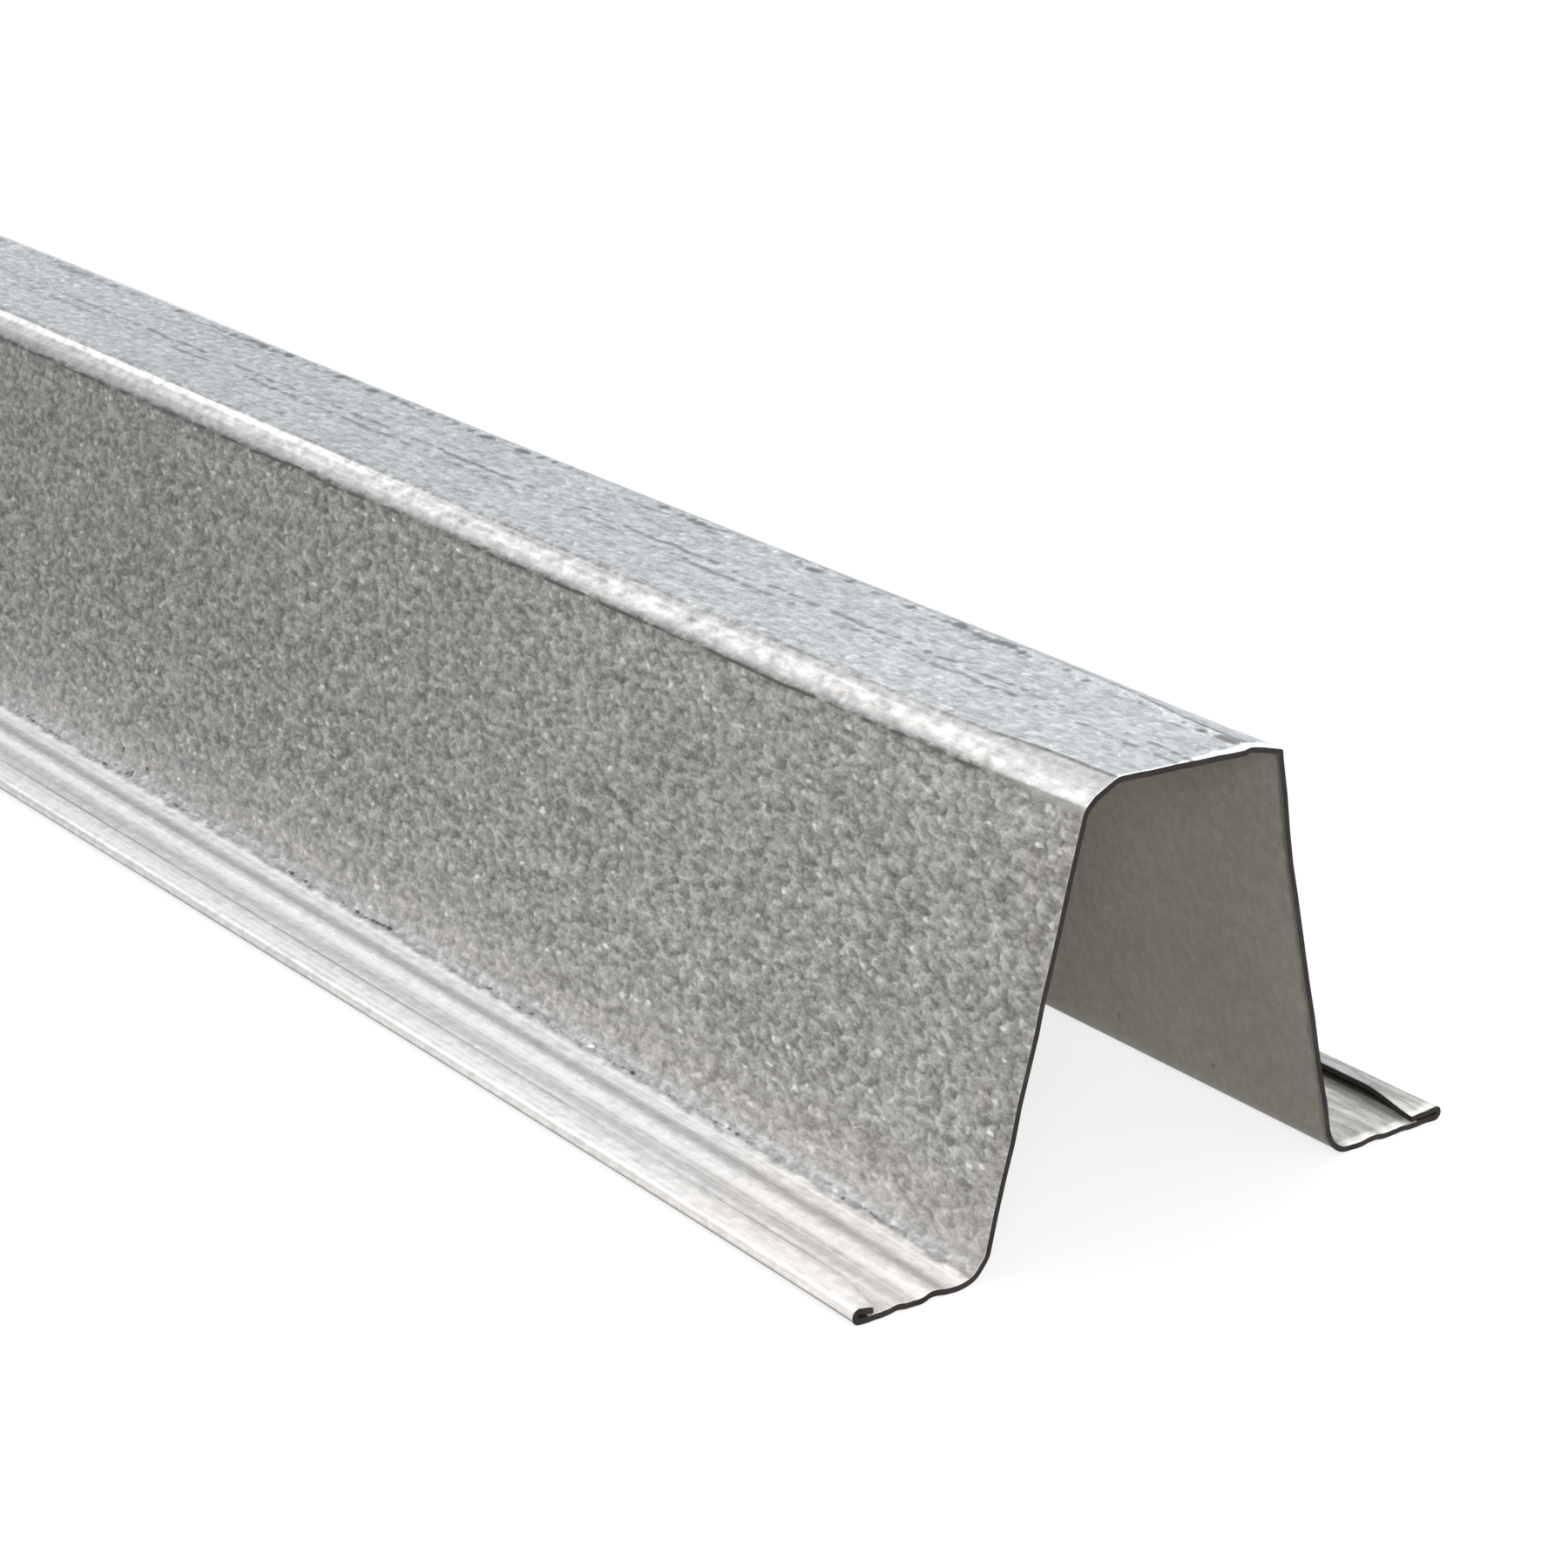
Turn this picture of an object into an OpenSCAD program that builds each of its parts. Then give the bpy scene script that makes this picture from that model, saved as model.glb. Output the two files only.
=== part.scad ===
// Galvanised steel top hat batten: one strip of sheet, roll formed into a crown with faceted
// corners, two leaning webs and two ribbed flanges whose edges are folded back as hems.
// The stock lies on its flanges, with X along its length, Y across it and Z up.
// The origin is at mid length, on the floor, under the middle of the crown.

/* [Stock] */
// Length that the stock is cut to
batten_length = 2400; // [600:100:6100]
// Thickness of the coated sheet
sheet_t = 0.8; // [0.4:0.05:1.2]

/* [Hat] */
// Depth of the section, from the underside of the flanges to the top of the crown
section_depth = 64; // [30:1:120]
// Width of the crown, between the sharp corners that its facets cut off
crown_w = 32; // [12:1:60]
// Width of the facet that bevels each corner of the crown, between its two bends
facet_w = 5.7; // [3:0.1:9]
// How far a facet bows between its two bends, in degrees
facet_bow = 18; // [2:1:40]
// Width between the sharp corners where the webs would meet the flanges
foot_w = 62; // [40:1:90]
// Inside radius of the two bends beside each facet
facet_bend_r = 1.5; // [0.5:0.25:6]
// Inside radius of the bends between the webs and the flanges
foot_bend_r = 4; // [1:0.25:8]

/* [Flanges] */
// Width of a flange, from the sharp corner at the foot of its web to its outer edge
flange_w = 20.5; // [17:0.5:40]
// Width of the main rib, which runs along the middle of the flange's open flat
main_rib_w = 4.6; // [3:0.1:8]
// Height of the main rib
main_rib_h = 0.35; // [0.1:0.05:0.8]
// Distance from a flange's outer edge to the middle of the small rib beside its hem
edge_rib_inset = 7.3; // [4:0.1:11]
// Width of the small rib
edge_rib_w = 3; // [2:0.1:6]
// Height of the small rib
edge_rib_h = 0.2; // [0.1:0.05:0.5]

/* [Hems] */
// Width of the hem, from the flange's outer edge to the folded strip's free edge
hem_w = 5.4; // [3:0.1:12]
// Clear gap inside the hem
hem_gap = 0.4; // [0.1:0.05:1]

/* [Hidden] */
zinc_grey = [0.66, 0.67, 0.67];

// Largest turn between two neighbouring points of a bend, in degrees
bend_step = 5;

// How far the webs lean out of the vertical, and how far the sheet turns between level and a web
web_lean = atan((foot_w - crown_w) / 2 / (section_depth - sheet_t));
web_turn = 90 - web_lean;
web_slant = (section_depth - sheet_t) / cos(web_lean);

// A facet's own bow and the two bends beside it share the turn from the crown to a web
facet_turn = (web_turn - facet_bow) / 2;
facet_r = facet_w / 2 / sin(facet_bow / 2);

// Lengths of the upper face that a facet and a foot take up on either side of their sharp corner
facet_half = facet_w / 2 + (facet_bend_r + sheet_t) * (sin(web_turn / 2) - sin(facet_bow / 2));
facet_setback = facet_half / cos(web_turn / 2);
foot_setback = foot_bend_r * tan(web_turn / 2);

// The hem is a half turn about the middle of its gap
hem_bend_r = hem_gap / 2;
hem_reach = hem_bend_r + sheet_t;

// Flat lengths of the flange: one on either side of its main rib, and one under its hem
open_flat = flange_w - foot_setback - edge_rib_inset - edge_rib_w / 2;
rib_flat = (open_flat - main_rib_w) / 2;
hem_flat = edge_rib_inset - edge_rib_w / 2 - hem_reach;

// The sheet's upper face is walked in stages, from the middle of the crown to the free edge of one hem.
// A stage is a flat length, then a bend: its turn, positive upwards, and its inside radius.
stages = concat(
    [[crown_w / 2 - facet_setback, -facet_turn, facet_bend_r]],
    [[0, -facet_bow, facet_r - sheet_t], [0, -facet_turn, facet_bend_r]],
    [[web_slant - facet_setback - foot_setback, web_turn, foot_bend_r]],
    rib_stages(rib_flat, main_rib_w, main_rib_h),
    rib_stages(rib_flat, edge_rib_w, edge_rib_h),
    [[hem_flat, 180, hem_bend_r]],
    [[hem_w - hem_reach, 0, 0]]
);

// A rib after a flat length: three bends of one inside radius, that turn up, over and level again
function rib_stages(flat, width, height) =
    let (
        turn = 2 * atan(2 * height / width),
        inside_r = (width / (2 * sin(turn)) - sheet_t) / 2
    )
    [[flat, turn, inside_r], [0, -2 * turn, inside_r], [0, turn, inside_r]];

// Unit vectors along a heading, and square to it on the side where the metal lies
function along(heading) = [cos(heading), sin(heading)];
function into_metal(heading) = [sin(heading), -cos(heading)];

// Points of one bend, each with its heading, after the point where the bend starts.
// The upper face is on the outside of a downward bend, and on the inside of an upward one.
function bend_points(start, heading, turn, inside_r) =
    let (
        side = sign(turn),
        radius = turn < 0 ? inside_r + sheet_t : inside_r,
        centre = start - side * radius * into_metal(heading),
        count = ceil(abs(turn) / bend_step)
    )
    [for (i = [1 : 1 : count])
        let (now = heading + turn * i / count)
        [centre + side * radius * into_metal(now), now]];

// Every point from one stage on, with its heading: where each bend starts, and the bend itself
function walk(from, heading, stage = 0) =
    stage == len(stages) ? [] :
    let (
        flat = stages[stage][0],
        bend_start = from + flat * along(heading),
        bend = bend_points(bend_start, heading, stages[stage][1], stages[stage][2]),
        last = len(bend) > 0 ? bend[len(bend) - 1] : [bend_start, heading]
    )
    concat(flat > 0 ? [[bend_start, heading]] : [], bend, walk(last[0], last[1], stage + 1));

function reversed(points) = [for (i = [len(points) - 1 : -1 : 0]) points[i]];
function mirrored(points) = [for (point = points) [-point[0], point[1]]];

// Outline of the bent strip: along its upper face, then back along its lower face
module bent_section() {
    trace = walk([0, section_depth], 0);
    upper = [for (step = trace) step[0]];
    lower = [for (step = trace) step[0] + sheet_t * into_metal(step[1])];
    polygon(concat(reversed(mirrored(upper)), upper, reversed(lower), mirrored(lower)));
}

module top_hat_batten() {
    color(zinc_grey)
        rotate([90, 0, 90])
            linear_extrude(height = batten_length, center = true)
                bent_section();
}

top_hat_batten();
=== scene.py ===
import math

import bpy
import numpy as np
from mathutils import Matrix, Vector


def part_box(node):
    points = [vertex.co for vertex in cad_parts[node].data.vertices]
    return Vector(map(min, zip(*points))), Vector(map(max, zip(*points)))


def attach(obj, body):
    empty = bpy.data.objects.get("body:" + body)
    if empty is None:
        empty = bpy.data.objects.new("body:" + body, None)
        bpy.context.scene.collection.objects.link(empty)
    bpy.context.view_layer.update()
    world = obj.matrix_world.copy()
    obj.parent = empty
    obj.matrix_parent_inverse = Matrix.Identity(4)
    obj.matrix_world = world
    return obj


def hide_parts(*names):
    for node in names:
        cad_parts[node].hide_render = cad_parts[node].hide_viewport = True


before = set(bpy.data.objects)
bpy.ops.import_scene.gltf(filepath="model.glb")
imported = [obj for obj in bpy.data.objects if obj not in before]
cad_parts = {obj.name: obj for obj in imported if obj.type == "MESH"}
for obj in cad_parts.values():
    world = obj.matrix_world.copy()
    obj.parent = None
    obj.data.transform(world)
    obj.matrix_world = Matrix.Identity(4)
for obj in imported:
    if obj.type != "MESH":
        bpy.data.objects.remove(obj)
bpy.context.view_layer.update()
print("frame loaded")


# Batten: one bent strip of sheet, rebuilt finely enough for smooth bends, hems and sheared ends. Metres.
batten = {
    "node": "top_hat_batten",
    "sheet": 0.0008,               # coated sheet
    "crownWidth": 0.032,           # between the sharp corners of the crown
    "footWidth": 0.062,            # between the sharp corners at the feet of the webs
    "facet": 0.0046,               # bevel at each corner of the crown, which opens out at the cut ends
    "facetBow": math.radians(18),
    "facetBend": 0.0015,           # inside radii of the bends
    "footBend": 0.004,
    "mainRib": (0.0046, 0.00035),  # width and height
    "edgeRib": (0.003, 0.0002),
    "edgeRibInset": 0.0073,        # outer edge to the middle of the small rib
    "hem": 0.0054,                 # outer edge to the folded strip's free edge
    "hemGap": 0.0004,
    "bendStep": math.radians(6),   # largest turn between two points of a bend
    "hemStep": math.radians(12),
    "flatStep": 0.005,             # longest flat stretch between two points
    "flatParts": 4,                # fewest stretches in a flat
    "flatEdge": 0.0003,            # a flat's first and last points, which keep the bends' shading off it
    # distance from a sheared end, and how far the outer and inner faces round over there
    "shear": ((0, 0.00006, -0.0001), (0.00012, 0.00003, -0.00003), (0.0003, 0.00001, 0), (0.0006, 0, 0)),
    "endRings": (0.001, 0.002, 0.0035, 0.005, 0.007, 0.009, 0.0115, 0.014, 0.018, 0.023, 0.029, 0.036),
    "ringStep": 0.012,             # between rings near the ends, and in the middle
    "middleStep": 0.024,
    "nearEnds": 0.42,
    "foldMargin": 0.001,           # past a hem's width, where its fold still shows the sheet's lower face
    "hemShut": (1.35, 1.7),        # widths of hem, from the near and far free edges in, that are shut up
    "sharpAngle": math.radians(35),
}


def ribStages(flat, rib):
    width, height = rib
    turn = 2 * math.atan(2 * height / width)
    radius = (width / (2 * math.sin(turn)) - batten["sheet"]) / 2
    return [(flat, turn, radius), (0, -2 * turn, radius), (0, turn, radius)]


# Each stage is a flat length, then a bend: its turn, positive upwards, and its inside radius.
def sectionStages(depth, width):
    sheet = batten["sheet"]
    rise = depth - sheet
    lean = math.atan((batten["footWidth"] - batten["crownWidth"]) / 2 / rise)
    turn = math.pi / 2 - lean
    bow, facetBend = batten["facetBow"], batten["facetBend"]
    facetTurn = (turn - bow) / 2
    facetRadius = batten["facet"] / 2 / math.sin(bow / 2)
    facetHalf = batten["facet"] / 2 + (facetBend + sheet) * (math.sin(turn / 2) - math.sin(bow / 2))
    facetSetback = facetHalf / math.cos(turn / 2)
    footSetback = batten["footBend"] * math.tan(turn / 2)
    hemRadius = batten["hemGap"] / 2
    edgeHalf = batten["edgeRib"][0] / 2
    flange = (width - batten["footWidth"]) / 2
    openFlat = flange - footSetback - batten["edgeRibInset"] - edgeHalf
    ribFlat = (openFlat - batten["mainRib"][0]) / 2
    return (
        [(batten["crownWidth"] / 2 - facetSetback, -facetTurn, facetBend)]
        + [(0, -bow, facetRadius - sheet), (0, -facetTurn, facetBend)]
        + [(rise / math.cos(lean) - facetSetback - footSetback, turn, batten["footBend"])]
        + ribStages(ribFlat, batten["mainRib"])
        + ribStages(ribFlat, batten["edgeRib"])
        + [(batten["edgeRibInset"] - edgeHalf - hemRadius - sheet, math.pi, hemRadius)]
        + [(batten["hem"] - hemRadius - sheet, 0, 0)]
    )


# Places along a flat stretch, close together at its two ends
def flatPlaces(flat):
    edge = batten["flatEdge"]
    if flat < batten["flatParts"] * edge:
        return [flat] if flat else []
    count = max(batten["flatParts"], math.ceil((flat - 2 * edge) / batten["flatStep"]))
    return [*np.linspace(edge, flat - edge, count + 1), flat]


# Walks the upper face from the middle of the crown to a hem's free edge: y, z, heading and distance walked.
def walkHalf(depth, width):
    point, heading, walked = np.array([0.0, depth]), 0.0, 0.0
    trace = [(*point, heading, walked)]
    for flat, turn, inside in sectionStages(depth, width):
        ahead = np.array([math.cos(heading), math.sin(heading)])
        trace += [(*(point + place * ahead), heading, walked + place) for place in flatPlaces(flat)]
        point = point + flat * ahead
        walked += flat
        if not turn:
            continue
        side = math.copysign(1, turn)
        radius = inside if turn > 0 else inside + batten["sheet"]
        centre = point - side * radius * np.array([math.sin(heading), -math.cos(heading)])
        step = batten["hemStep"] if abs(turn) > math.pi / 2 else batten["bendStep"]
        count = math.ceil(abs(turn) / step)
        for k in range(count):
            heading += turn / count
            walked += abs(turn) / count * radius
            point = centre + side * radius * np.array([math.sin(heading), -math.cos(heading)])
            trace.append((*point, heading, walked))
    return np.array(trace)


# The whole upper face from hem to hem, with the unit vectors that point down into the metal.
def wholeFace(depth, width):
    half = walkHalf(depth, width)
    other = half[:0:-1] * np.array([-1, 1, -1, -1])
    trace = np.vstack([other, half])
    down = np.stack([np.sin(trace[:, 2]), -np.cos(trace[:, 2])], 1)
    return trace[:, :2], down, trace[:, 3]


# Places of the rings along the batten, each with how far its outer and inner faces round over
def ringPlaces(low, high):
    ends = list(batten["shear"]) + [(place, 0, 0) for place in batten["endRings"]]
    while ends[-1][0] < batten["nearEnds"]:
        ends.append((ends[-1][0] + batten["ringStep"], 0, 0))
    reach = ends[-1][0]
    middle = high - low - 2 * reach
    count = math.ceil(middle / batten["middleStep"])
    first = [(low + place, outer, inner) for place, outer, inner in ends]
    between = [(low + reach + middle * k / count, 0, 0) for k in range(1, count)]
    last = [(high - place, outer, inner) for place, outer, inner in reversed(ends)]
    return first + between + last


# How the real strip is out of true: at its sheared ends, along its hems and on its long faces. Bands across
# the strip run from the middle of the crown: where they start, are full, begin to fade and end.
trueness = {
    "endReach": 0.05,              # how far the near end's own shape runs in
    "crownLift": 0.00012,          # the crown's middle at the end, and its tilt in metres per metre across
    "crownTilt": 0.0404,
    "cornerRaise": 0.0016,         # the far corner of the crown is rolled flatter than the near one
    "cornerOut": 0.0004,
    "cornerBand": (0.0115, 0.018, 0.018, 0.031),
    "cornerEnd": 0.0006,           # flatter still at the near end
    "cornerEndReach": 0.03,
    "cornerSwing": 0.2,            # and it swings between flatter and steeper along the length
    "cornerWave": 0.32,
    "facetFlare": 0.0011,          # how far the facets' upper bends run in towards the crown at the cut ends
    "flareReach": (0.012, 0.026),
    "flareBand": (0.006, 0.0115, 0.0127, 0.0172),
    "footFlare": 0.0007,           # how far the near web's foot stands out at the end
    "webSpan": (0.0115, 0.0765),   # from the crown's bends to the feet
    "crownDroop": 0.0002,          # the crown's cut edge is drawn down by the shear
    "droopReach": 0.0009,
    "droopCurve": 1.6,
    "droopShares": ((-0.0125, 0.1), (0, 0.4), (0.016, 1.4)),    # place across, and more so at the far corner
    "droopEnds": (0.0125, 0.0185),                              # on the near side and on the far side
    "droopFade": 0.002,
    "leafTrim": 0.0009,            # the hems' folded strips run a little narrow
    "leafTrimEnd": 0.0014,         # and the near one narrows further at the end
    "leafTrimReach": 0.014,
    "leafLift": 0.0008,            # the far hem stands open, except at the end
    "leafLiftReach": 0.011,
    "leafWaves": ((0.25, 19, 0),),
    "leafPress": 0.00038,          # both are pressed shut at the end
    "leafPressReach": 0.009,
    # long waves: height, then the share of each, its radians per metre and how many phases it starts at
    "phase": 1.7,
    "webWave": 0.00012,
    "webWaves": ((1, 17, 1), (0.6, 41, -1)),
    "flangeWave": 0.00018,
    "flangeWaves": ((0.6, 23, 1), (0.4, 61, 2)),
    "flangeSpan": (0.082, 0.1),
    "edgeWave": 0.00012,
    "edgeWaves": ((1, 35, 1),),
    "shearWave": 0.00007,          # across the sheared ends
    "shearWaves": ((1, 900, 0), (0.7, 2130, 1)),
    "shearBack": 1.2,
    "shearReach": 0.0006,
}


# One at an end, falling to nothing at its reach
def nearEnd(distance, reach):
    return np.clip(1 - distance / reach, 0, 1)


def eased(share):
    return share * share * (3 - 2 * share)


def band(out, start, full, fade, end):
    return np.clip((out - start) / (full - start), 0, 1) * np.clip((end - out) / (end - fade), 0, 1)


def waves(place, phase, parts):
    return sum(share * np.sin(rate * place + times * phase) for share, rate, times in parts)


def outOfTrue(verts, across, low, high):
    true = trueness
    x, y, z = verts.T.copy()
    side, out = np.sign(across), np.abs(across)
    nearSide, farSide = side < 0, side > 0
    fromEnd = high.x - x
    fromCut = np.minimum(fromEnd, x - low.x)
    rise = np.clip(z / high.z, 0, 1)
    # crown, facets and feet
    ease = nearEnd(fromEnd, true["endReach"]) ** 2
    z += (true["crownLift"] - true["crownTilt"] * y) * rise * ease
    flare = eased(np.interp(fromCut, true["flareReach"], (1, 0)))
    y -= side * true["facetFlare"] * band(out, *true["flareBand"]) * flare
    swing = np.cos(2 * np.pi * fromEnd / true["cornerWave"]) - 1
    corner = band(out, *true["cornerBand"]) * farSide * (1 + true["cornerSwing"] * swing)
    cornerEnd = true["cornerEnd"] * nearEnd(fromEnd, true["cornerEndReach"]) ** 2
    z += (true["cornerRaise"] + cornerEnd) * corner
    y += true["cornerOut"] * corner
    y -= true["footFlare"] * np.interp(out, true["webSpan"], (0, 1)) * ease * nearSide
    droop = nearEnd(fromEnd, true["droopReach"]) ** true["droopCurve"]
    droop = droop * np.interp(across, *np.transpose(true["droopShares"]))
    droopEnd = np.where(farSide, true["droopEnds"][1], true["droopEnds"][0])
    z -= true["crownDroop"] * droop * np.clip((droopEnd - out) / true["droopFade"], 0, 1)
    # folded strips of the hems
    leafLong = batten["hem"] - batten["hemGap"] / 2 - batten["sheet"]
    leaf = np.clip((out - (out.max() - leafLong)) / leafLong, 0, 1)
    shut = eased(nearEnd(fromEnd, true["leafLiftReach"])) * farSide
    trim = nearEnd(fromEnd, true["leafTrimReach"]) ** 2 * nearSide
    y += side * leaf * (true["leafTrim"] * (1 - shut) + true["leafTrimEnd"] * trim)
    z += true["leafLift"] * leaf * farSide * (1 - shut) * (1 + waves(x, 0, true["leafWaves"]))
    z -= true["leafPress"] * leaf * nearEnd(fromEnd, true["leafPressReach"]) ** 2
    # long waves, each side with its own phase, then the sheared ends
    phase = true["phase"] * side
    flange = np.interp(out, true["flangeSpan"], (0, 1))
    y += side * true["webWave"] * np.sin(np.pi * rise) * waves(x, phase, true["webWaves"])
    z += true["flangeWave"] * flange ** 2 * (1 + waves(x, phase, true["flangeWaves"])) / 2
    y += side * true["edgeWave"] * flange * waves(x, phase, true["edgeWaves"])
    atCut = np.exp(-fromCut / true["shearReach"])
    x += true["shearWave"] * atCut * (waves(across, 1, true["shearWaves"]) - true["shearBack"])
    return np.stack([x, y, z], 1)


def makeBatten():
    low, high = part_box(batten["node"])
    face, down, across = wholeFace(high.z, high.y - low.y)
    rings = ringPlaces(low.x, high.x)
    count = len(face)
    loops = []
    for x, outer, inner in rings:
        loop = np.vstack([face + outer * down, face + (batten["sheet"] - inner) * down])
        loops.append(np.column_stack([np.full(2 * count, x), loop]))
    walked = np.tile(across, 2 * len(rings))
    flatX = np.concatenate([loop[:, 0] for loop in loops])
    verts = outOfTrue(np.concatenate(loops), walked, low, high)
    out = np.abs(across)
    folded = out > out.max() - batten["hem"] - batten["foldMargin"]    # hems show the sheet's lower face
    shut = np.where(across > 0, batten["hemShut"][1], batten["hemShut"][0]) * batten["hem"]
    inHem = out > out.max() - shut                                     # and enclose its upper face
    faces, kinds = [], []    # kinds: 0 outer, 1 inner, 2 sheared, 3 inside a hem
    for r in range(len(rings) - 1):
        a, b = 2 * count * r, 2 * count * (r + 1)
        for i in range(count - 1):
            faces.append((a + i, b + i, b + i + 1, a + i + 1))
            faces.append((a + count + i, a + count + i + 1, b + count + i + 1, b + count + i))
            # faces inside a hem take the hem material, which is painted shade
            kinds += [3 if inHem[i] and inHem[i + 1] else 0, 0 if folded[i] and folded[i + 1] else 1]
        faces.append((a, a + count, b + count, b))
        faces.append((a + count - 1, b + count - 1, b + 2 * count - 1, a + 2 * count - 1))
        kinds += [2, 2]
    last = 2 * count * (len(rings) - 1)
    for i in range(count - 1):
        faces.append((i, i + 1, count + i + 1, count + i))
        faces.append((last + i, last + count + i, last + count + i + 1, last + i + 1))
        kinds += [2, 2]
    mesh = bpy.data.meshes.new("topHatBatten")
    mesh.from_pydata(verts.tolist(), [], faces)
    mesh.polygons.foreach_set("material_index", kinds)
    mesh.polygons.foreach_set("use_smooth", [True] * len(faces))
    strip = mesh.uv_layers.new(name="strip")         # along and across the flat strip, in metres
    corner = np.empty(len(mesh.loops), int)
    mesh.loops.foreach_get("vertex_index", corner)
    strip.data.foreach_set("uv", np.column_stack([flatX[corner], walked[corner]]).ravel())
    mesh.set_sharp_from_angle(angle=batten["sharpAngle"])
    mesh.validate()
    piece = bpy.data.objects.new("top_hat_batten_sheet", mesh)
    bpy.context.scene.collection.objects.link(piece)
    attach(piece, "root")
    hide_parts(batten["node"])
    print("batten mesh:", len(faces), "faces,", len(rings), "rings")
    return piece


# Small helpers for node trees
def addNode(tree, kind, inputs=None, **settings):
    made = tree.nodes.new(kind)
    for name, value in settings.items():
        setattr(made, name, value)
    for name, value in (inputs or {}).items():
        socket = made.inputs[name]
        if isinstance(value, bpy.types.NodeSocket):
            tree.links.new(value, socket)
        else:
            socket.default_value = value
    return made


def maths(tree, operation, *values):
    return addNode(tree, "ShaderNodeMath", dict(enumerate(values)), operation=operation).outputs[0]


def remap(tree, value, fromLow, fromHigh, toLow, toHigh, smooth=False):
    inputs = {"Value": value, "From Min": fromLow, "From Max": fromHigh, "To Min": toLow, "To Max": toHigh}
    kind = "SMOOTHSTEP" if smooth else "LINEAR"
    return addNode(tree, "ShaderNodeMapRange", inputs, interpolation_type=kind).outputs[0]


def vectors(tree, operation, *values):
    return addNode(tree, "ShaderNodeVectorMath", dict(enumerate(values)), operation=operation).outputs[0]


def scaled(tree, vector, share):
    inputs = {0: vector, "Scale": share}
    return addNode(tree, "ShaderNodeVectorMath", inputs, operation="SCALE").outputs[0]


def centred(tree, value):
    return maths(tree, "SUBTRACT", value, 0.5)


def mixColour(tree, factor, a, b):
    return addNode(tree, "ShaderNodeMix", {0: factor, 6: a, 7: b}, data_type="RGBA").outputs[2]


def mixValue(tree, factor, a, b):
    return addNode(tree, "ShaderNodeMix", {0: factor, 2: a, 3: b}).outputs[0]


# A value that eases through places along a line, each with its own height from 0 to 1
def ramp(tree, place, stops):
    low, high = stops[0][0], stops[-1][0]
    node = addNode(tree, "ShaderNodeFloatCurve", {"Value": remap(tree, place, low, high, 0.0, 1.0)})
    line = node.mapping.curves[0]
    line.points[0].location = (0, stops[0][1])
    line.points[1].location = (1, stops[-1][1])
    for spot, height in stops[1:-1]:
        line.points.new((spot - low) / (high - low), height)
    for point in line.points:
        point.handle_type = "AUTO_CLAMPED"
    node.mapping.update()
    return node.outputs[0]


def noise(tree, inputs, **settings):
    return addNode(tree, "ShaderNodeTexNoise", inputs, **settings).outputs[0]


def newGroup(name, inputs, outputs):
    group = bpy.data.node_groups.new(name, "ShaderNodeTree")
    for direction, sockets in (("INPUT", inputs), ("OUTPUT", outputs)):
        for socketName, kind in sockets:
            group.interface.new_socket(socketName, in_out=direction, socket_type="NodeSocket" + kind)
    return group, addNode(group, "NodeGroupInput").outputs, addNode(group, "NodeGroupOutput").inputs


def placeGroup(tree, group, inputs):
    return addNode(tree, "ShaderNodeGroup", inputs, node_tree=group).outputs


# How the grain and the marks are made up, the same for every zinc face
effects = {
    "tone": (0.15, 0.85),          # share of a crystal's own even tone, and of the soft grain
    "softRange": (0.27, 0.75),     # of the noise, from dark to light
    "softCurve": 1.5,
    "flashCore": (0.1, 0.5),       # how far out a flashing crystal is bright, and where it ends
    "coreHeight": 0.12,
    "streakRange": (0.25, 0.75),
    "markSpacing": 9000.0,         # keeps the dashes of neighbouring lines apart
    "markStretch": (0.12, 0.7),    # longer gaps and runs: how often, and how strong
    "markSway": (0.35, 2.2),       # how often a line strays, and how far, in its own widths
    "markRise": 0.25,
    "markCore": 0.3,               # share of a line's width that is fully dark
    "markCurve": 0.7,
    "rubScale": 260.0,             # unevenness of the rubbed edge, and how far it varies
    "rubSpan": (0.4, 1.2),
    "rubCore": 0.4,
    "dirtPatch": 0.02,             # size of the patches of dirt, where they start and how full they are
    "patchRange": (0.5, 0.62),
    "patchShare": 0.9,
}


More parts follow.
